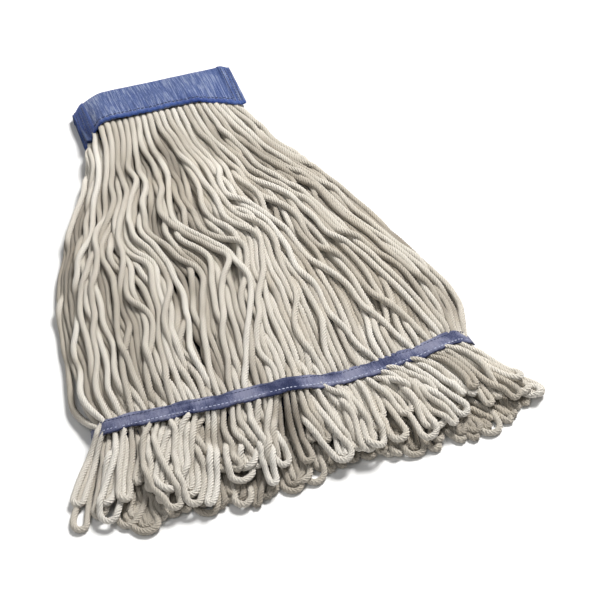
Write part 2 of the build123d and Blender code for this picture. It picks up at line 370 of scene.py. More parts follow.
def band_edge_y(x):
    """The upper flap's lower edge reaches a little further down at the right."""
    return EDGE_Y + 3.0 - 5.0 * smooth((x - 25) / 50.0)


# Strands of the top row that wander across their neighbours: distance, length and shift of each bend
CROSSINGS = {
    3: ((255, 42, -13),), 6: ((300, 45, -15),), 8: ((235, 38, 13),), 9: ((310, 50, 17),),
    11: ((345, 26, -9),),
    13: ((280, 48, 14), (345, 22, -6)), 15: ((190, 45, -11),), 18: ((300, 42, 12),), 21: ((215, 50, -12),),
}


def stacked_heights(lines, along):
    """Heights of strands laid one after another under the surface, each as high as the earlier ones allow.
    lines holds every strand's x at each along."""
    heights = np.empty_like(lines)
    for n, x in enumerate(lines):
        heights[n] = top(x, along) - SKIN
        if n:
            apart = np.abs(lines[:n] - x)
            under = heights[:n] - np.sqrt(np.clip(STACK_GAP ** 2 - apart ** 2, 0, None))
            heights[n] = np.minimum(heights[n], np.where(apart < STACK_GAP, under, np.inf).min(0))
    kernel = np.hanning(13)[1:-1]
    padded = np.pad(heights, ((0, 0), (5, 5)), "edge")
    return np.stack([np.convolve(h, kernel / kernel.sum(), "valid") for h in padded])


def share_out(rng, slots):
    """Which strand goes to which place in the tail band, {(row, x): (column, layer)}, and the even
    spots, from -1 to 1, that the rows under the top one pass on their way."""
    waiting = []
    for row, count in enumerate(BAND_ROWS):
        for x in np.linspace(FIRST_X, LAST_X, count):
            waiting.append((row, x + (rng.uniform(-0.6, 0.6) if row else 0)))
    under = sorted([w for w in waiting if w[0] > 0], key=lambda w: w[1])
    taken = np.zeros((len(slots), 2), bool)
    places, spots = {}, {}
    for row, x in waiting[:BAND_ROWS[0]]:
        want = flow_x(line_at(x, 0), TAIL_START)
        for column in np.argsort(np.abs(slots - want)):
            layer = 1 if taken[column, 0] else 0
            if not taken[column, layer]:
                taken[column, layer] = True
                places[(row, x)] = (column, layer)
                break
    left_over = [(c, k) for c in range(len(slots)) for k in (0, 1) if not taken[c, k]]
    for number, (strand, place) in enumerate(zip(under, left_over)):
        places[strand] = place
        spots[strand] = 2 * number / (len(under) - 1) - 1
    return places, spots


def bends(rng, row, x, tail_x):
    """Where a strand wanders across its neighbours: (distance, length, sideways shift) of each bend."""
    number = int(round((x - FIRST_X) / (LAST_X - FIRST_X) * (BAND_ROWS[0] - 1)))
    if row == 0:
        return CROSSINGS.get(number, ())
    if rng.random() < 0.30 and tail_x < 70:
        return ((rng.uniform(190, 350), rng.uniform(26, 40), rng.choice((-11, -8, 8, 11))),)
    return ()


def strand_course(rng, upper, row, x, tail_x, spot):
    """A strand from above, as along, its x there and its lift over the strands that it crosses."""
    end_along = CREASE_Y - tail_y(tail_x)
    along = np.linspace(14, end_along + 4, 110)
    run = np.clip((along - BAND_END) / (end_along - BAND_END), 0, 1)
    start, end = line_at(x, 0), line_at(tail_x, len(FLOW_ALONG) - 1)
    line = start + (end - start) * smooth(run / (0.85 if row == 0 else 0.55))
    stations = BAND_END + run * (TAIL_START - BAND_END)
    path_x = np.array([flow_x(n, a) for n, a in zip(line, stations)])
    start, end = x / BUNDLE_HALF, tail_x / plan(LEFT if tail_x < 0 else RIGHT, TAIL_START)
    if not upper:
        place = start + (end - start) * smooth(run / 0.7)
        place = np.clip(place * (1 + 0.12 * np.sin(np.pi * run)), -0.88, 0.88)
        path_x = place * np.where(place < 0, plan(LEFT, along), plan(RIGHT, along))
    elif row:
        place = start + (spot - start) * smooth(run / 0.35) + (end - spot) * smooth((run - 0.6) / 0.4)
        evenly = 0.96 * place * np.where(place < 0, plan(LEFT, along), plan(RIGHT, along))
        path_x += (evenly - path_x) * (0.5 + 0.45 * abs(spot) ** 3) * smooth(run / 0.3)
    gather = 2 * np.pi * (0.95 * line + 0.3 * np.sin(2.1 * line)) + 0.8 * np.sin(along / 55 + line)
    spread = smooth((along - 60) / 110) * smooth((end_along - along) / 60)
    lift = np.zeros_like(along)
    wander = bends(rng, row, x, tail_x)
    if upper:
        for middle, width, shift in wander:
            path_x = path_x + shift * np.exp(-((along - middle) / width) ** 2)
            lift = np.maximum(lift, 5.0 * np.exp(-((along - middle) / (1.5 * width)) ** 2))
        path_x -= 2.7 * np.sin(gather) * spread * (1 - abs(x / BUNDLE_HALF) ** 4)
    path_x += meander(rng, x / BUNDLE_HALF, along, 1.0 if upper else 1.6) * np.sin(np.pi * run) ** 0.7
    path_x = np.where(along < BAND_END, x, path_x)
    path_x += (tail_x - path_x[-1]) * smooth((run - 0.85) / 0.15)
    return along, path_x, lift


def strand_z(upper, row, x, along, path_x, lift, loose_z, end_along, tail_z):
    """Height of a strand along its course: fold, headband row, skirt, tail band."""
    if upper:
        rows_z = top(path_x, along) - SKIN - ROW_GAP * row
        skirt_z = rows_z + (loose_z - rows_z) * smooth((along - 60) / 40) + lift
        band_top = band_edge_top(x) - 3.7
        band_low = 18.5 - 8.0 * smooth((-60 - x) / 14)
        fold_z = 10.8 - 4.2 * smooth((-60 - x) / 10)
        inside = smooth((BAND_END - along) / 40)
    else:
        skirt_z = np.full_like(along, 3.0) + 2.6 * (4 - row)
        band_top, band_low = 12.0 - 5.0 * smooth((np.abs(x) - 55) / 18), 3.2
        fold_z = 2.6
        inside = smooth((58 - along) / 34)
    band_z = band_top - (band_top - band_low) * row / (len(BAND_ROWS) - 1)
    band_z = band_z + (fold_z - band_z) * inside
    z = band_z + (skirt_z - band_z) * smooth((along - 53) / 28)
    return z + (tail_z - z) * smooth((along - end_along + 32) / 26)


def skirt_paths(rng, upper):
    """Each strand of a half from inside the headband to its place in the tail band."""
    slots = tail_slots(upper)
    places, spots = share_out(rng, slots)
    bundle = []
    for (row, x), (column, layer) in sorted(places.items()):
        course = strand_course(rng, upper, row, x, slots[column], spots.get((row, x)))
        bundle.append((row, x, slots[column], layer, *course))
    stations = np.linspace(40, 400, 91)
    lines = np.array([np.interp(stations, along, path_x) for *_, along, path_x, lift in bundle])
    paths, slack, keys = [], [], []
    for (row, x, tail_x, layer, along, path_x, lift), height in zip(bundle, stacked_heights(lines, stations)):
        end_along = CREASE_Y - tail_y(tail_x)
        z = strand_z(upper, row, x, along, path_x, lift, np.interp(along, stations, height), end_along,
                     tail_heights(tail_x, layer, upper))
        points = resample(np.stack([path_x, CREASE_Y - along, z], 1), STEP)
        a = CREASE_Y - points[:, 1]
        # a strand is pressed thin where the headband and the tail band are sewn over it
        squeeze = 0.55 + 0.45 * (smooth((a - 36) / 14) if row == 0 else smooth((a - 50) / 35))
        squeeze -= (1 - TAIL_R / YARN_R) * smooth((a - end_along + 18) / 14)
        held = (a < 58) | (a > end_along - 6)
        paths.append((points, YARN_R * squeeze, held))
        slack.append(0.010 + 0.022 * smooth((60 - tail_x) / 120) if upper else 0.015)
        keys.append((tail_x, row, layer))
    return paths, np.array(slack), keys, slots


def loop_path(rng, upper, left, right, layer, clump):
    """One loop: down a bowed middle line, round its tip and back up, as (points, radii, held)."""
    middle = (left + right) / 2
    share = (middle - TAIL_LEFT) / (TAIL_RIGHT - TAIL_LEFT)
    sweep = np.interp(share, *FRINGE_SWEEP) * (1.0 if upper else 0.9)
    drop = np.interp(share, *(UPPER_DROP if upper else LOWER_DROP))
    drop += rng.uniform(-32, -1) if upper else rng.uniform(-6, 3)
    sweep += clump + rng.normal(0, 4)
    base_y, base_z = tail_y(middle), tail_heights(middle, layer, upper)
    wide = rng.choice(LOOP_WIDTHS, p=LOOP_ODDS)
    wide = min(wide, LOOP_WIDTHS[1]) if share > 0.9 else wide
    bow = rng.normal(0, 6.5)
    late = 1 + 0.9 * smooth((share - 0.8) / 0.2)
    tilt = rng.uniform(-3, 3)
    t = np.linspace(0, 1, 26)
    heading = math.atan2(sweep, drop)
    side = np.array([math.cos(heading), math.sin(heading), 0.0])
    ahead = np.array([math.sin(heading), -math.cos(heading), 0.0])
    x = middle + sweep * t ** late + bow * np.sin(np.pi * t)
    y = base_y + 4 - (drop + 4) * t
    arch = (tilt + 5.0) * (1 - abs(2 * share - 1) ** 3)
    past = np.clip((t - 12 / drop) / (1 - 12 / drop), 0, 1)
    z = base_z + arch * np.sin(np.pi * past) - (base_z - 4) * past * (0.45 if upper else 0.3)
    centre = np.stack([x, y, z], 1)
    half = 0.5 * ((right - left) + (wide - (right - left)) * smooth(t * 1.2))[:, None]
    lift = np.zeros_like(centre)
    lift[:, 2] = tilt * t
    turn = np.linspace(np.pi, 0, 7)[1:-1]
    tip = centre[-1] + wide / 2 * (np.cos(turn)[:, None] * side + np.sin(turn)[:, None] * ahead)
    points = np.vstack([centre - side * half + lift, tip, (centre + side * half - lift)[::-1]])
    points = resample(points, LOOP_STEP)
    a = CREASE_Y - points[:, 1]
    held = a < CREASE_Y - base_y + 7
    held[4:-4] = False
    squeeze = 1 - (1 - TAIL_R / YARN_R) * smooth(1 - (a - CREASE_Y + base_y - 6) / 14)
    return points, YARN_R * squeeze, held


def loop_paths(rng, slots, upper):
    """The loops that join neighbouring strands below the tail band."""
    paths, keys = [], []
    clumps = np.zeros(len(slots))
    clumps[:len(CLUMPS)] = CLUMPS
    clumps *= 1.0 if upper else -0.5
    for column in range(0, len(slots) - 1, 2):
        for layer in (0, 1):
            left, right = slots[column], slots[column + 1]
            paths.append(loop_path(rng, upper, left, right, layer, clumps[(column // 2 + layer) // 3]))
            keys.append(((left + right) / 2, 0, layer))
    return paths, np.zeros(len(paths)), keys


def upper_floor(x, along):
    """What the upper strands rest on: a springy arch under the skirt, the lower loops below it."""
    layers = STRANDS * 2 * YARN_R / (plan(LEFT, along) + plan(RIGHT, along))
    arch = top(x, along) - 5.2 * layers - 2.5
    rest = parting(x, along) + 1.0
    beyond = smooth((along - 398) / 12)
    return np.maximum(rest, arch * (1 - beyond) + rest * beyond)


def lower_ceiling(x, along):
    """What keeps the lower strands under the upper half."""
    return parting(x, along) - 0.4


def settle(upper):
    """One half's strands and loops, settled."""
    rng = np.random.default_rng(11 if upper else 23)
    strands, slack, keys, slots = skirt_paths(rng, upper)
    loops, loop_slack, loop_keys = loop_paths(rng, slots, upper)
    floor = upper_floor if upper else (lambda x, along: np.zeros_like(x))
    ceiling = None if upper else lower_ceiling
    steps = 140
    settled = relax(strands + loops, floor, ceiling, np.concatenate([slack, loop_slack]), steps)
    radii = [p[1] for p in strands + loops]
    split = len(strands)
    return (list(zip(settled[:split], radii[:split], keys)),
            list(zip(settled[split:], radii[split:], loop_keys)))


# ---------------------------------------------------------------- yarn meshes
def frames(centre):
    """Directions across a strand at each of its points."""
    ahead = np.gradient(centre, axis=0)
    ahead /= np.linalg.norm(ahead, axis=1)[:, None] + 1e-12
    ref = np.array([0.12, 0.08, 1.0])
    one = np.cross(ahead, ref)
    one /= np.linalg.norm(one, axis=1)[:, None] + 1e-9
    return one, np.cross(one, ahead)


def yarn_tube(points, radii, rng):
    """Rings of vertices of one plied strand, with its tone, darkened by painted shade where the strand lies
    deep in the mop, and its length along it.
    """
    if len(points) > 60:
        for _ in range(2):
            eased = 0.25 * (points[:-2] + points[2:]) + 0.5 * points[1:-1]
            points = np.vstack([points[:1], eased, points[-1:]])
    centre = curve_through(points, RING)
    share = np.linspace(0, 1, len(centre))
    radius = np.interp(share, np.linspace(0, 1, len(radii)), radii)
    run = np.arange(len(centre)) * RING
    one, two = frames(centre)
    corner = np.arange(SIDES)
    lobes = np.where(corner % 2 == 0, CREST, GROOVE)
    swell = 1 + 0.05 * np.sin(run / 23 + rng.uniform(0, 6.3)) + 0.03 * np.sin(run / 6.1 + rng.uniform(0, 6.3))
    turn = 2 * np.pi * (corner[None, :] / SIDES - run[:, None] / PLY_PITCH) + rng.uniform(0, 6.3)
    size = (radius * swell)[:, None] * lobes[None, :]
    rings = (centre[:, None, :] + (size * np.cos(turn))[:, :, None] * one[:, None, :]
             + (size * np.sin(turn))[:, :, None] * two[:, None, :])
    tone = 0.62 + 0.20 * rng.standard_normal() + 0.10 * np.sin(run / 37 + rng.uniform(0, 6.3))
    # Painted shade: a strand's tone is darkened the deeper it lies under the upper half's surface; strands
    # below the parting are darkened by a fixed amount, less in the fringe.
    x, along, z = centre[:, 0], CREASE_Y - centre[:, 1], centre[:, 2]
    fringe = smooth((along - 400) / 30)
    depth = np.where(z < parting(x, along), 8.0 - 4.0 * fringe, top(x, along) - z - 3.5)
    painted_depth_shade = smooth(depth / (9.0 - 2.5 * fringe)) * smooth((along - 40) / 30)
    return rings, np.clip(np.clip(tone, 0.25, 1) * (1 - 0.85 * painted_depth_shade), 0, 1), run


def mesh_object(name, verts, faces, uvs, material, tone=None, bake=None):
    """An object from arrays: faces is a list of (n, corners) index arrays, and uvs and bake hold one
    (n, corners, 2) array for each."""
    mesh = bpy.data.meshes.new(name)
    loops = np.concatenate([f.ravel() for f in faces])
    sizes = np.concatenate([np.full(len(f), f.shape[1]) for f in faces])
    starts = np.concatenate([[0], np.cumsum(sizes)[:-1]])
    mesh.vertices.add(len(verts))
    mesh.vertices.foreach_set("co", (verts * MM).astype(np.float32).ravel())
    mesh.loops.add(len(loops))
    mesh.loops.foreach_set("vertex_index", loops.astype(np.int32))
    mesh.polygons.add(len(sizes))
    mesh.polygons.foreach_set("loop_start", starts.astype(np.int32))
    mesh.polygons.foreach_set("use_smooth", np.ones(len(sizes), bool))
    mesh.update(calc_edges=True)
    for label, corners in (("weave", uvs), ("OFBake", bake)):
        if corners is not None:
            flat = np.concatenate([u.reshape(-1, 2) for u in corners]).astype(np.float32)
            mesh.uv_layers.new(name=label).data.foreach_set("uv", flat.ravel())
    # For yarn, tone holds each strand's own tone with painted shade on deep strands.
    if tone is not None:
        attribute = mesh.attributes.new("tone", "FLOAT", "POINT")
        attribute.data.foreach_set("value", tone.astype(np.float32))
    mesh.validate()
    mesh.materials.append(material)
    piece = bpy.data.objects.new(name, mesh)
    bpy.context.scene.collection.objects.link(piece)
    return piece


def yarn_piece(name, strands, material, rng):
    """One mesh of many strands, each a closed tube."""
    verts, tones_with_painted_shade, sides, caps, side_uv, cap_uv, side_bake, cap_bake = [], [], [], [], [], [], [], []
    base = 0
    for number, (points, radii) in enumerate(strands):
        rings, tone, run = yarn_tube(points, radii, rng)
        count = len(rings)
        verts.append(rings.reshape(-1, 3))
        tones_with_painted_shade.append(np.repeat(tone, SIDES))
        ring, corner = np.meshgrid(np.arange(count - 1), np.arange(SIDES), indexing="ij")
        after = (corner + 1) % SIDES
        quad = np.stack([ring * SIDES + corner, ring * SIDES + after, (ring + 1) * SIDES + after,
                         (ring + 1) * SIDES + corner], -1).reshape(-1, 4) + base
        sides.append(quad[:, ::-1])
        u = np.stack([corner, corner + 1, corner + 1, corner], -1).reshape(-1, 4)[:, ::-1] / SIDES
        v = np.stack([run[ring], run[ring], run[ring + 1], run[ring + 1]], -1).reshape(-1, 4)[:, ::-1]
        side_uv.append(np.stack([u, v], -1))
        strip = (number + 0.04 + 0.92 * u) / len(strands)
        side_bake.append(np.stack([strip, 0.01 + 0.98 * v / run[-1]], -1))
        first = np.arange(SIDES)[None, :] + base
        last = first[:, ::-1] + (count - 1) * SIDES
        caps += [first, last]
        for end in (0.0, 1.0):
            spot = np.full((1, SIDES, 2), 0.5)
            spot[..., 0] = (number + 0.5) / len(strands)
            spot[..., 1] = 0.01 + 0.98 * end
            cap_bake.append(spot + 0.001 * np.stack([np.cos(first * 0.785), np.sin(first * 0.785)], -1))
            cap_uv.append(np.stack([first * 0.0 + 0.5, first * 0.0 + end * run[-1]], -1))
        base += count * SIDES
    return mesh_object(name, np.vstack(verts), sides + caps, side_uv + cap_uv, material,
                       np.concatenate(tones_with_painted_shade), side_bake + cap_bake)


# ---------------------------------------------------------------- materials
def new_material(name):
    """A material, its node tree and its shader."""
    material = bpy.data.materials.new(name)
    material.use_nodes = True
    return material, material.node_tree, material.node_tree.nodes["Principled BSDF"]


def feed(tree, socket, value):
    """Give a socket a value, or link it to another socket."""
    if hasattr(value, "is_linked"):
        tree.links.new(value, socket)
    else:
        socket.default_value = value


def mix_colour(tree, factor, a, b):
    """A colour mix node; factor, a and b are sockets or values."""
    node = tree.nodes.new("ShaderNodeMix")
    node.data_type = "RGBA"
    for socket, value in ((node.inputs[0], factor), (node.inputs[6], a), (node.inputs[7], b)):
        feed(tree, socket, value)
    return node.outputs[2]


def maths(tree, operation, *values):
    """A maths node; values are sockets or numbers."""
    node = tree.nodes.new("ShaderNodeMath")
    node.operation = operation
    for socket, value in zip(node.inputs, values):
        feed(tree, socket, value)
    return node.outputs[0]


def ramp(tree, factor, stops):
    """A colour ramp with stops of (place, colour)."""
    node = tree.nodes.new("ShaderNodeValToRGB")
    tree.links.new(factor, node.inputs[0])
    elements = node.color_ramp.elements
    while len(elements) < len(stops):
        elements.new(0.5)
    for element, (place, colour) in zip(elements, stops):
        element.position = place
        element.color = (*colour, 1)
    return node.outputs[0]


def noise(tree, vector, scale, detail=3.0, roughness=0.55):
    """A noise node's value at vector."""
    node = tree.nodes.new("ShaderNodeTexNoise")
    for name, value in (("Scale", scale), ("Detail", detail), ("Roughness", roughness), ("Vector", vector)):
        feed(tree, node.inputs[name], value)
    return node.outputs["Fac"]


def scaled(tree, vector, scale):
    """A vector times scale, axis by axis."""
    node = tree.nodes.new("ShaderNodeVectorMath")
    node.operation = "MULTIPLY"
    tree.links.new(vector, node.inputs[0])
    node.inputs[1].default_value = scale
    return node.outputs[0]


def bump(tree, height, distance, strength, before=None):
    """A bump node; before is the normal that it adds to."""
    node = tree.nodes.new("ShaderNodeBump")
    node.inputs["Distance"].default_value = distance
    node.inputs["Strength"].default_value = strength
    tree.links.new(height, node.inputs["Height"])
    if before is not None:
        tree.links.new(before, node.inputs["Normal"])
    return node.outputs["Normal"]


def yarn_material():
    """Off-white plied cotton: fibres along each ply, painted shade in the grooves, small colour changes, and
    dark brown where the tone attribute carries painted shade.
    """
    material, tree, shader = new_material("cotton_yarn")
    uv = tree.nodes.new("ShaderNodeUVMap")
    uv.uv_map = "weave"
    place = tree.nodes.new("ShaderNodeTexCoord").outputs["Object"]
    tone = tree.nodes.new("ShaderNodeAttribute")
    tone.attribute_name = "tone"
    fibres = noise(tree, scaled(tree, uv.outputs[0], (26.0, 0.55, 1.0)), 1.0, 4.0, 0.65)
    slubs = noise(tree, place, 95.0, 3.0)
    stains = noise(tree, place, 13.0, 2.0)
    split = tree.nodes.new("ShaderNodeSeparateXYZ")
    tree.links.new(uv.outputs[0], split.inputs[0])
    ply = maths(tree, "COSINE", maths(tree, "MULTIPLY", split.outputs[0], 2 * math.pi * PLIES))
    groove = maths(tree, "MULTIPLY_ADD", ply, 0.5, 0.5)
    # Low tone, which on deep strands is mostly painted shade, turns dark brown.
    body = ramp(tree, tone.outputs["Fac"],
                [(0.0, (0.085, 0.062, 0.04)), (0.25, (0.38, 0.335, 0.27)), (0.55, (0.61, 0.565, 0.49)),
                 (1.0, (0.76, 0.725, 0.66))])
    paler = maths(tree, "MULTIPLY", fibres, tone.outputs["Fac"])
    colour = mix_colour(tree, maths(tree, "MULTIPLY", paler, 0.5), body, (0.80, 0.77, 0.72, 1))
    # Painted shade in the grooves between the plies.
    painted_groove_shade = maths(tree, "MULTIPLY", maths(tree, "SUBTRACT", 1.0, groove), 0.32)
    colour = mix_colour(tree, painted_groove_shade, colour, (0.30, 0.25, 0.18, 1))
    warm = maths(tree, "MULTIPLY", maths(tree, "GREATER_THAN", stains, 0.60), 0.10)
    colour = mix_colour(tree, warm, colour, (0.60, 0.50, 0.36, 1))
    colour = mix_colour(tree, maths(tree, "MULTIPLY", slubs, 0.12), colour, (0.92, 0.90, 0.86, 1))
    tree.links.new(colour, shader.inputs["Base Color"])
    shader.inputs["Roughness"].default_value = 0.92
    shader.inputs["Specular IOR Level"].default_value = 0.18
    shader.inputs["Sheen Weight"].default_value = 0.25
    shader.inputs["Sheen Roughness"].default_value = 0.6
    rounded = bump(tree, groove, 0.0007, 0.75)
    fuzz = noise(tree, place, 1400.0, 2.0)
    rounded = bump(tree, fuzz, 0.0003, 0.5, rounded)
    tree.links.new(bump(tree, fibres, 0.0004, 0.8, rounded), shader.inputs["Normal"])
    return material


def cloth_material(name, dark, middle, light, streaks, contrast=1.0, line=None):
    """Woven cloth on weave UVs in millimetres: u across the band, v along the strands. line is where
    along v a dark line runs, and its half width: on the headband it is painted shade along the fold's crease,
    on the tail tape it darkens the tape's lower edge."""
    material, tree, shader = new_material(name)
    uv = tree.nodes.new("ShaderNodeUVMap")
    uv.uv_map = "weave"
    place = tree.nodes.new("ShaderNodeTexCoord").outputs["Object"]
    split = tree.nodes.new("ShaderNodeSeparateXYZ")
    tree.links.new(uv.outputs[0], split.inputs[0])
    u, v = split.outputs[0], split.outputs[1]
    warp = maths(tree, "SINE", maths(tree, "MULTIPLY", u, 2 * math.pi / 1.1))
    weft = maths(tree, "SINE", maths(tree, "MULTIPLY", v, 2 * math.pi / 0.9))
    checker = maths(tree, "MULTIPLY", warp, weft)
    weave = maths(tree, "MULTIPLY_ADD", checker, 0.5, 0.5)
    streak = noise(tree, scaled(tree, uv.outputs[0], (0.80, 0.035, 1.0)), 1.0, 3.0, 0.75)
    blotch = noise(tree, place, 34.0, 4.0, 0.6)
    fibre = noise(tree, scaled(tree, uv.outputs[0], (3.5, 1.2, 1.0)), 1.0, 4.0, 0.7)
    tone = maths(tree, "ADD", maths(tree, "MULTIPLY", streak, streaks),
                 maths(tree, "MULTIPLY", blotch, 1.0 - streaks))
    tone = maths(tree, "MULTIPLY_ADD", maths(tree, "SUBTRACT", fibre, 0.5), 0.45, tone)
    body = ramp(tree, tone, [(0.5 - 0.16 / contrast, dark), (0.50, middle), (0.5 + 0.13 / contrast, light)])
    colour = mix_colour(tree, maths(tree, "MULTIPLY", weave, 0.30), body, (*dark, 1))
    if line is not None:
        # A dark line: painted shade along the headband fold's crease, or the tail tape's darker lower edge.
        away = maths(tree, "ABSOLUTE", maths(tree, "SUBTRACT", v, line[0]))
        near = maths(tree, "SUBTRACT", 1.0, maths(tree, "DIVIDE", away, line[1]))
        painted_crease_shade_and_dark_edge = maths(tree, "MULTIPLY", maths(tree, "MAXIMUM", near, 0.0), 0.85)
        colour = mix_colour(tree, painted_crease_shade_and_dark_edge, colour, (*dark, 1))
    tree.links.new(colour, shader.inputs["Base Color"])
    shader.inputs["Roughness"].default_value = 0.88
    shader.inputs["Specular IOR Level"].default_value = 0.2
    shader.inputs["Sheen Weight"].default_value = 0.15
    rough = bump(tree, weave, 0.0004, 0.8)
    tree.links.new(bump(tree, fibre, 0.0003, 0.5, rough), shader.inputs["Normal"])
    return material


def thread_material(name, colour):
    """Twisted sewing thread."""
    material, tree, shader = new_material(name)
    place = tree.nodes.new("ShaderNodeTexCoord").outputs["Object"]
    fibre = noise(tree, place, 900.0, 3.0)
    pale = tuple(min(1.0, c * 1.5 + 0.05) for c in colour)
    tree.links.new(mix_colour(tree, fibre, (*colour, 1), (*pale, 1)), shader.inputs["Base Color"])
    shader.inputs["Roughness"].default_value = 0.7
    tree.links.new(bump(tree, fibre, 0.0001, 0.6), shader.inputs["Normal"])
    return material


# ---------------------------------------------------------------- cloth pieces
def grid_normals(grid):
    """Unit directions out of a grid of points (rows, columns, 3)."""
    normal = np.cross(np.gradient(grid, axis=1), np.gradient(grid, axis=0))
    return normal / (np.linalg.norm(normal, axis=2)[:, :, None] + 1e-12)


def grid_uv(u, v):
    """UVs of a grid whose columns lie at u and whose rows lie at v."""
    return np.stack(np.broadcast_arrays(u[None, :], v[:, None]), -1)


def sheet_piece(name, outer, thickness, uv, material):
    """A closed cloth from a grid of outer points (rows, columns, 3), thickened inwards."""
    rows, columns = outer.shape[:2]
    inner = outer - grid_normals(outer) * thickness
    verts = np.vstack([outer.reshape(-1, 3), inner.reshape(-1, 3)])
    i, j = np.meshgrid(np.arange(rows - 1), np.arange(columns - 1), indexing="ij")
    front = np.stack([i * columns + j, i * columns + j + 1, (i + 1) * columns + j + 1,
                      (i + 1) * columns + j], -1).reshape(-1, 4)
    back = front[:, ::-1] + rows * columns
    rim = np.concatenate([np.arange(columns), np.arange(1, rows) * columns + columns - 1,
                          (rows - 1) * columns + np.arange(columns - 2, -1, -1),
                          np.arange(rows - 2, 0, -1) * columns])
    after = np.roll(rim, -1)
    side = np.stack([after, rim, rim + rows * columns, after + rows * columns], -1)
    flat = np.concatenate([uv.reshape(-1, 2), uv.reshape(-1, 2)])
    faces = [front, back, side]
    return mesh_object(name, verts, faces, [flat[f] for f in faces], material)


def band_profile(s, x):
    """The headband's outer face: s runs from the upper flap's edge (0) over the crease to the lower
    flap's edge (1). Returns y and z."""
    middle = smooth((x + 80) / 36) * (1 - 0.25 * smooth((x - 66) / 9))
    corner = smooth((-65 - x) / 10)
    half = 5.6 + 5.4 * middle - 1.2 * corner
    arc_y = FOLD_ARC_Y + 5.4 * middle - 5.5 * corner
    low, high = band_edge_top(x), 2 * half
    edge_y = band_edge_y(x)
    share = np.clip(s / UPPER_S, 0, 1)
    y = edge_y + (arc_y - edge_y) * share
    z = low + (high - low) * share + 1.2 * np.sin(np.pi * share)
    angle = np.clip((s - UPPER_S) / (LOWER_S - UPPER_S), 0, 1) * np.pi
    y = np.where(s > UPPER_S, arc_y + FOLD_R * np.sin(angle), y)
    z = np.where(s > UPPER_S, half + half * np.cos(angle), z)
    below = (s - LOWER_S) / (1 - LOWER_S)
    y = np.where(s > LOWER_S, arc_y - (arc_y - EDGE_Y) * below, y)
    return y, np.where(s > LOWER_S, 0.0, z)


def band_grid(x, s, lift=0.0):
    """Points of the headband's outer face, raised by lift, with the yarn's ridges and soft puckers."""
    grid_s, grid_x = np.meshgrid(s, x, indexing="ij")
    y, z = band_profile(grid_s, grid_x)
    edge = smooth((0.40 - grid_s) / 0.35)
    ribs = 0.45 * np.sin(2 * np.pi * (grid_x + 0.9 * np.sin(grid_x / 9)) / 6.1) * edge
    soft = (0.8 * np.sin(grid_x / 12.0 + 1.3) * np.sin(grid_s * 11 + grid_x / 31.0)
            + 0.35 * np.sin(grid_x / 4.1 + grid_s * 9))
    z = z + (ribs + soft) * smooth((UPPER_S + 0.06 - grid_s) / 0.1)
    grid = np.stack([grid_x, y, z], -1)
    return grid + grid_normals(grid) * lift


def band_strip(name, x, s, lift, thickness, material):
    """A strip of cloth on the headband's outer face, with UVs in millimetres."""
    return sheet_piece(name, band_grid(x, s, lift), thickness, grid_uv(x, s * BAND_RUN), material)


def stitch_piece(name, lines, material, length=2.6, gap=1.3, radius=0.34):
    """Sewing stitches: short thread capsules along each line of points, thinner at their ends."""
    verts, faces, uvs = [], [], []
    rings, corners, base = 6, 6, 0
    for line in lines:
        run = run_along(line)
        for begin in np.arange(0.6, run[-1] - length, length + gap):
            t = np.linspace(0, 1, rings)
            centre = np.stack([np.interp(begin + length * t, run, line[:, n]) for n in range(3)], 1)
            ahead = centre[-1] - centre[0]
            ahead = ahead / (np.linalg.norm(ahead) + 1e-9)
            one = np.cross(ahead, (0.05, 0.1, 1.0))
            one = one / np.linalg.norm(one)
            two = np.cross(one, ahead)
            size = radius * np.sqrt(np.clip(1 - (2 * t - 1) ** 4, 0.05, 1))
            angle = np.linspace(0, 2 * np.pi, corners, endpoint=False)
            ring = (centre[:, None] + size[:, None, None] * (np.cos(angle)[None, :, None] * one
                                                            + np.sin(angle)[None, :, None] * two))
            verts.append(ring.reshape(-1, 3))
            i, j = np.meshgrid(np.arange(rings - 1) * corners, np.arange(corners), indexing="ij")
            k = (j + 1) % corners
            quad = np.stack([i + j, i + corners + j, i + corners + k, i + k], -1).reshape(-1, 4)
            first = np.arange(corners)
            caps = np.array([first, rings * corners - 1 - first])
            faces += [quad + base, caps + base]
            uvs += [np.zeros((*f.shape, 2)) for f in (quad, caps)]
            base += rings * corners
    return mesh_object(name, np.vstack(verts), faces, uvs, material)


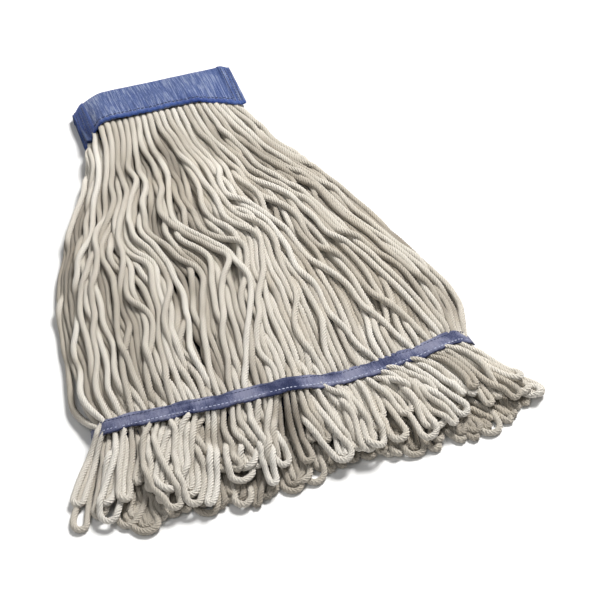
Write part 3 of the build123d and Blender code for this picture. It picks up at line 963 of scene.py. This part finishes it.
def build_band(cloth, hem, liner, thread):
    """The headband: outer cloth, side hems, rolled edges, liners and stitching."""
    flap_rows = 24
    arc = np.linspace(UPPER_S, LOWER_S, 22)
    full = np.concatenate([np.linspace(0, UPPER_S, 46)[:-1], arc, np.linspace(LOWER_S, 1, flap_rows)[1:]])
    half = BAND_HALF - 0.4
    outer = band_strip("headband_cloth", np.linspace(-half, half, 150), full, 0.0, 1.0, cloth)
    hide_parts("upper_band_cloth", "lower_band_cloth")
    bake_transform(outer)
    inner = BAND_HALF - SIDE_HEM
    # The left side hem takes the darker hem cloth as painted shade on the band's shaded left end; the right
    # one takes the band's cloth.
    for side, ends, colour in (("left", (-BAND_HALF, -inner), hem), ("right", (inner, BAND_HALF), cloth)):
        x = np.linspace(*ends, 16)
        strip = band_strip(f"headband_hem_{side}", x, full[:-flap_rows], 0.7, 0.9, colour)
        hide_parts(f"upper_side_hem_{side}", f"lower_side_hem_{side}")
        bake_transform(strip)
    x = np.linspace(-BAND_HALF + 0.6, BAND_HALF - 0.6, 150)
    roll_rows = 9
    edge = band_strip("headband_edge_upper", x, np.linspace(-0.012, 0.042, roll_rows), 0.0, 1.0, hem)
    shape_roll(edge, np.sin(np.pi * np.linspace(0, 1, roll_rows)) ** 0.5, len(x))
    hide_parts("upper_edge_hem")
    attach(edge, "upper_band")
    y = np.linspace(EDGE_Y, EDGE_Y + 6, 5)
    grid = np.stack(np.broadcast_arrays(x[None, :], y[:, None], np.full((5, 1), 1.8)), -1)
    edge = sheet_piece("headband_edge_lower", grid, 0.7, grid_uv(x, y), hem)
    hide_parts("lower_edge_hem")
    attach(edge, "lower_half")
    build_liners(liner)
    rows = []
    for seam_x in SIDE_SEAMS:
        near = np.array([seam_x - 0.5, seam_x, seam_x + 0.5])
        rows.append(band_grid(near, np.linspace(0.02, UPPER_S, 60), 0.85)[:, 1])
    rows.append(band_grid(x[3:-3], np.array([0.05, 0.055, 0.06]), 0.25)[1])
    seam = stitch_piece("headband_stitches_upper", rows, thread, 2.9, 0.9, 0.55)
    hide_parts("upper_band_stitching")
    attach(seam, "upper_band")
    line = np.stack([np.linspace(-72, 72, 60), np.full(60, 189.0), np.full(60, 14.7)], 1)
    seam = stitch_piece("headband_stitches_lower", [line], thread)
    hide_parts("lower_band_stitching")
    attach(seam, "lower_half")


def shape_roll(piece, lift, columns):
    """Round a strip's outer face up by lift, one value for each row, so that it reads as a rolled edge."""
    mesh = piece.data
    co = np.zeros(len(mesh.vertices) * 3, np.float32)
    mesh.vertices.foreach_get("co", co)
    co = co.reshape(-1, 3)
    co[:len(lift) * columns, 2] += np.repeat(lift, columns) * MM
    mesh.vertices.foreach_set("co", co.ravel())
    mesh.update()


def liner_sheet(name, profile, x, material):
    """A liner that follows profile, a list of (y, z), all across the band."""
    spacing = 2.0
    points = curve_through(np.array([(0.0, y, z) for y, z in profile]), spacing)
    grid = np.broadcast_to(points[:, None, :], (len(points), len(x), 3)).copy()
    grid[:, :, 0] = x[None, :]
    return sheet_piece(name, grid, 0.6, grid_uv(x, np.arange(len(points)) * spacing), material)


def build_liners(material):
    """The band's inner layer, round the channel that takes a mop handle's clamp."""
    x = np.linspace(-BAND_HALF + 1.5, BAND_HALF - 1.5, 60)
    lower = liner_sheet("liner_lower", [(186, 15.2), (197, 12.6), (208, 9.6), (216, 4.4)], x, material)
    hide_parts("lower_band_liner")
    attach(lower, "lower_half")
    upper = liner_sheet("liner_upper", [(216, 9.9), (208, 11.2), (197, 14.0), (186, 16.8)], x, material)
    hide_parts("upper_band_liner")
    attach(upper, "upper_band")
    bend = [(216, 4.4), (226, 4.2), (233, 4.3), (235.6, 7.0), (233, 9.7), (226, 9.8), (216, 9.9)]
    fold = liner_sheet("liner_fold", bend, x, material)
    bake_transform(fold)


# ---------------------------------------------------------------- tail bands
def tail_strip(name, height, material, thickness, lift):
    """A tail tape across the strands: height(x) is its outer face, and lift how far that bulges."""
    x = np.linspace(TAIL_LEFT - 4, TAIL_RIGHT + 1, 190)
    v = np.linspace(-0.5, 0.5, 9)
    middle_y = tail_y(x) + 0.7 * np.sin(x / 7.0) + 0.4 * np.sin(x / 3.3 + 1.0)
    slope = np.gradient(middle_y, x)
    grid_v, grid_x = np.meshgrid(v, x, indexing="ij")
    y = middle_y[None, :] - grid_v * TAPE_WIDTH
    px = grid_x + grid_v * TAPE_WIDTH * slope[None, :] * 0.8
    z = height(grid_x)
    if lift:
        ribs = 0.45 * np.sin(2 * np.pi * grid_x / 5.1) + 0.5 * np.sin(grid_x / 6.3) * np.sin(grid_x / 17.0)
        z = z + lift * (1 - (2 * grid_v) ** 4) + ribs * smooth(grid_v * 2 + 0.6)
    run = np.concatenate([[0], np.cumsum(np.hypot(np.diff(x), np.diff(height(x))))])
    uv = grid_uv(run, v * TAPE_WIDTH)
    return sheet_piece(name, np.stack([px, y, z], -1)[::-1], thickness, uv[::-1], material)


def tape_end(x):
    """The outer tape rolls down over the strands at its two ends."""
    return 4.0 * smooth((TAIL_LEFT + 3 - x) / 7) + 3.0 * smooth((x - TAIL_RIGHT + 4) / 5)


def build_tail(tape, thread, dark_thread):
    """The two tapes of each half and the stitches through them."""
    def outer_top(x):
        return tail_top(x) - tape_end(x)

    def upper_inner(x):
        return parting(x, CREASE_Y - tail_y(x)) + 0.9

    def lower_inner(x):
        return parting(x, CREASE_Y - tail_y(x)) + 0.1

    pieces = (
        ("tail_tape_upper_outer", outer_top, "upper_tail_tape_outer", "upper_skirt", 0.35),
        ("tail_tape_upper_inner", upper_inner, "upper_tail_tape_inner", "upper_skirt", 0.0),
        ("tail_tape_lower_inner", lower_inner, "lower_tail_tape_inner", "lower_half", 0.0),
        ("tail_tape_lower_outer", lambda x: 1.0 + 0 * x, "lower_tail_tape_outer", "lower_half", 0.0),
    )
    for name, height, node, body, lift in pieces:
        strip = tail_strip(name, height, tape, 1.0 if "outer" in name else 0.7, lift)
        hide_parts(node)
        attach(strip, body)
    x = np.linspace(TAIL_LEFT + 1.5, TAIL_RIGHT - 1.5, 400)
    for name, offset, colour in (("edge", -3.9, thread), ("top", 4.6, dark_thread)):
        line = np.stack([x, tail_y(x) + offset, outer_top(x) + 0.45], 1)
        seam = stitch_piece(f"tail_stitches_upper_{name}", [line], colour, 2.2, 1.1, 0.36)
        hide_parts("upper_tail_stitching")
        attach(seam, "upper_skirt")
    rows = [np.stack([x, tail_y(x) + offset, lower_inner(x) + 0.1], 1) for offset in (-4.2, 4.2)]
    seam = stitch_piece("tail_stitches_lower", rows, thread, 2.2, 1.1, 0.30)
    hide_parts("lower_tail_stitching")
    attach(seam, "lower_half")


# ---------------------------------------------------------------- the stray loop
STRAY_ROUTE = [
    (-0.1505, -0.147, 0.005), (-0.157, -0.1585, 0.004), (-0.1655, -0.1715, 0.0029), (-0.174, -0.184, 0.0029),
    (-0.1795, -0.1955, 0.0029), (-0.185, -0.205, 0.0029), (-0.188, -0.213, 0.0029), (-0.186, -0.2192, 0.0029),
    (-0.1788, -0.2192, 0.0029), (-0.1762, -0.2112, 0.0029), (-0.1715, -0.198, 0.0029),
    (-0.167, -0.186, 0.0029), (-0.1597, -0.1735, 0.0029), (-0.151, -0.1612, 0.004), (-0.1448, -0.1502, 0.005),
]


def nurbs_points(route):
    """Points along the NURBS curve that has route as its control points, in metres."""
    data = bpy.data.curves.new("route", "CURVE")
    data.dimensions = "3D"
    spline = data.splines.new("NURBS")
    spline.points.add(len(route) - 1)
    for point, place in zip(spline.points, route):
        point.co = (*place, 1)
    spline.order_u = 3
    spline.use_endpoint_u = True
    spline.resolution_u = 12
    carrier = bpy.data.objects.new("route", data)
    bpy.context.scene.collection.objects.link(carrier)
    bpy.context.view_layer.update()
    mesh = bpy.data.meshes.new_from_object(carrier)
    points = np.array([v.co for v in mesh.vertices])
    bpy.data.objects.remove(carrier)
    bpy.data.curves.remove(data)
    bpy.data.meshes.remove(mesh)
    return points


def build_stray(material):
    """The one loop that lies loose beside the left end of the fringe."""
    points = nurbs_points(STRAY_ROUTE)
    rng = np.random.default_rng(3)
    piece = yarn_piece("stray_yarn_loop", [(points / MM, np.full(len(points), YARN_R))], material, rng)
    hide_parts("stray_loop")
    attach(piece, "lower_half")


# ---------------------------------------------------------------- camera, light and floor
def camera_axes(azimuth, elevation):
    """Directions to the right, up and back towards a viewer at azimuth and elevation."""
    a, e = math.radians(azimuth), math.radians(elevation)
    back = Vector((math.sin(a) * math.cos(e), -math.cos(a) * math.cos(e), math.sin(e)))
    right = Vector((math.cos(a), math.sin(a), 0))
    return right, back.cross(right), back


def make_camera():
    """The photograph's view, from its azimuth and elevation, moved sideways and down to its framing."""
    right, up, back = camera_axes(-18.3, 47.0)
    distance, sideways, down = 1.8, 0.0618, 0.0275
    eye = Vector((0, 0, 0.015)) + sideways * right - down * up + distance * back
    data = bpy.data.cameras.new("view")
    data.lens = 128.2
    data.sensor_width = 36
    camera = bpy.data.objects.new("view", data)
    camera.matrix_world = Matrix.Translation(eye) @ Matrix((right, up, back)).transposed().to_4x4()
    bpy.context.scene.collection.objects.link(camera)
    bpy.context.scene.camera = camera


def area_light(name, azimuth, elevation, distance, size, power, colour):
    """A round lamp that faces the mop."""
    _, _, back = camera_axes(azimuth, elevation)
    data = bpy.data.lights.new(name, "AREA")
    data.shape = "DISK"
    data.size = size
    data.energy = power
    data.color = colour
    lamp = bpy.data.objects.new(name, data)
    lamp.location = back * distance
    lamp.rotation_euler = back.to_track_quat("Z", "Y").to_euler()
    bpy.context.scene.collection.objects.link(lamp)


def make_light():
    """A soft key from the right, a weak fill and a pale studio all round."""
    area_light("key", 120, 62, 1.9, 0.7, 52, (1.0, 0.99, 0.97))
    area_light("fill", -50, 60, 2.2, 1.2, 9, (0.97, 0.985, 1.0))
    world = bpy.data.worlds.new("studio")
    world.use_nodes = True
    tree = world.node_tree
    split = tree.nodes.new("ShaderNodeSeparateXYZ")
    tree.links.new(tree.nodes.new("ShaderNodeTexCoord").outputs["Generated"], split.inputs[0])
    sky = ramp(tree, split.outputs[2],
               [(0.0, (0.72, 0.72, 0.72)), (0.16, (0.50, 0.50, 0.50)), (0.5, (0.10, 0.10, 0.10))])
    tree.links.new(sky, tree.nodes["Background"].inputs[0])
    bpy.context.scene.world = world
    bpy.context.scene.view_settings.view_transform = "Standard"


def make_floor():
    """A pale floor, which glows a little far away so that it meets the backdrop evenly."""
    material, tree, shader = new_material("pale_floor")
    place = tree.nodes.new("ShaderNodeTexCoord").outputs["Object"]
    tree.links.new(mix_colour(tree, noise(tree, place, 3.0), (0.86, 0.86, 0.86, 1),
                         (0.90, 0.90, 0.895, 1)), shader.inputs["Base Color"])
    shader.inputs["Roughness"].default_value = 0.8
    reach = tree.nodes.new("ShaderNodeVectorMath")
    reach.operation = "LENGTH"
    tree.links.new(place, reach.inputs[0])
    far = tree.nodes.new("ShaderNodeMapRange")
    far.interpolation_type = "SMOOTHSTEP"
    tree.links.new(reach.outputs["Value"], far.inputs["Value"])
    for name, value in (("From Min", 0.8), ("From Max", 5.0), ("To Min", 0.0), ("To Max", 0.42)):
        far.inputs[name].default_value = value
    shader.inputs["Emission Color"].default_value = (1, 1, 1, 1)
    tree.links.new(far.outputs[0], shader.inputs["Emission Strength"])
    mesh = bpy.data.meshes.new("floor")
    size = 30.0
    corners = [(-size, -size, 0), (size, -size, 0), (size, size, 0), (-size, size, 0)]
    mesh.from_pydata(corners, [], [(0, 1, 2, 3)])
    mesh.materials.append(material)
    floor = bpy.data.objects.new("floor", mesh)
    floor.location.z = -0.0004
    bpy.context.scene.collection.objects.link(floor)


# ---------------------------------------------------------------- assembly
def by_lock(items):
    """Split strands into six locks, left to right."""
    order = sorted(range(len(items)), key=lambda n: items[n][2][0])
    return [[items[n] for n in part] for part in np.array_split(order, 6)]


def outermost(loops):
    """The numbers of the loops that reach furthest out: each becomes a cord of its own."""
    def reach(n):
        points = loops[n][0]
        return points[:, 1].min() - 0.6 * abs(points[:, 0]).max()

    return set(sorted(range(len(loops)), key=reach)[:LOOP_CORDS])


def build_yarn(material):
    """Both halves' strands in six locks each, and their loops in six locks and as cords."""
    rng = np.random.default_rng(5)
    for half in ("upper", "lower"):
        strands, loops = settle(half == "upper")
        for number, lock in enumerate(by_lock(strands), 1):
            name = f"{half}_yarn_lock_{number}"
            piece = yarn_piece(name, [(p, r) for p, r, _ in lock], material, rng)
            nodes = [f"{half}_strands_{number}"]
            if number == 3:
                nodes += [f"{half}_band_yarn", f"{half}_tail_yarn"]
            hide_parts(*nodes)
            if half == "upper":
                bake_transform(piece)
            else:
                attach(piece, "lower_half")
        far = outermost(loops)
        for number, lock in enumerate(by_lock([loop for n, loop in enumerate(loops) if n not in far]), 1):
            piece = yarn_piece(f"{half}_yarn_loops_{number}", [(p, r) for p, r, _ in lock], material, rng)
            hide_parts(f"{half}_loops_{number}")
            finish_loops(piece, half)
        for number, n in enumerate(sorted(far, key=lambda n: loops[n][2][0]), 1):
            points, radii, _ = loops[n]
            piece = yarn_piece(f"{half}_yarn_loop_cord_{number:02d}", [(points, radii)], material, rng)
            finish_loops(piece, half)


def finish_loops(piece, half):
    """Motion of a loop piece: an upper one is baked in place, a lower one rides on the lower half."""
    if half == "upper":
        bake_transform(piece)
    else:
        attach(piece, "lower_half")


make_camera()
yarn = yarn_material()
build_stray(yarn)
build_yarn(yarn)
# The band cloth's dark line along the fold's crease is painted shade.
band_cloth = cloth_material("band_cloth", dark=(0.020, 0.045, 0.17), middle=(0.062, 0.103, 0.265),
                            light=(0.30, 0.35, 0.49), streaks=0.80, contrast=1.25,
                            line=(0.47 * BAND_RUN, 4.5))
band_hem = cloth_material("band_hem", dark=(0.012, 0.030, 0.15), middle=(0.026, 0.065, 0.26),
                          light=(0.08, 0.14, 0.36), streaks=0.5)
# The liner's blue, darker than the band's cloth, is painted shade inside the band.
liner_cloth_with_painted_shade = cloth_material("band_liner", dark=(0.016, 0.03, 0.09), middle=(0.035, 0.06, 0.16),
                             light=(0.07, 0.11, 0.24), streaks=0.5)
tail_tape = cloth_material("tail_tape", dark=(0.015, 0.022, 0.073), middle=(0.112, 0.126, 0.23),
                           light=(0.26, 0.27, 0.38), streaks=0.22, contrast=1.7, line=(0.5 * TAPE_WIDTH, 2.2))
pale_thread = thread_material("pale_thread", (0.40, 0.43, 0.56))
blue_thread = thread_material("blue_thread", (0.018, 0.028, 0.085))
build_band(band_cloth, band_hem, liner_cloth_with_painted_shade, blue_thread)
build_tail(tail_tape, pale_thread, blue_thread)
make_light()
make_floor()
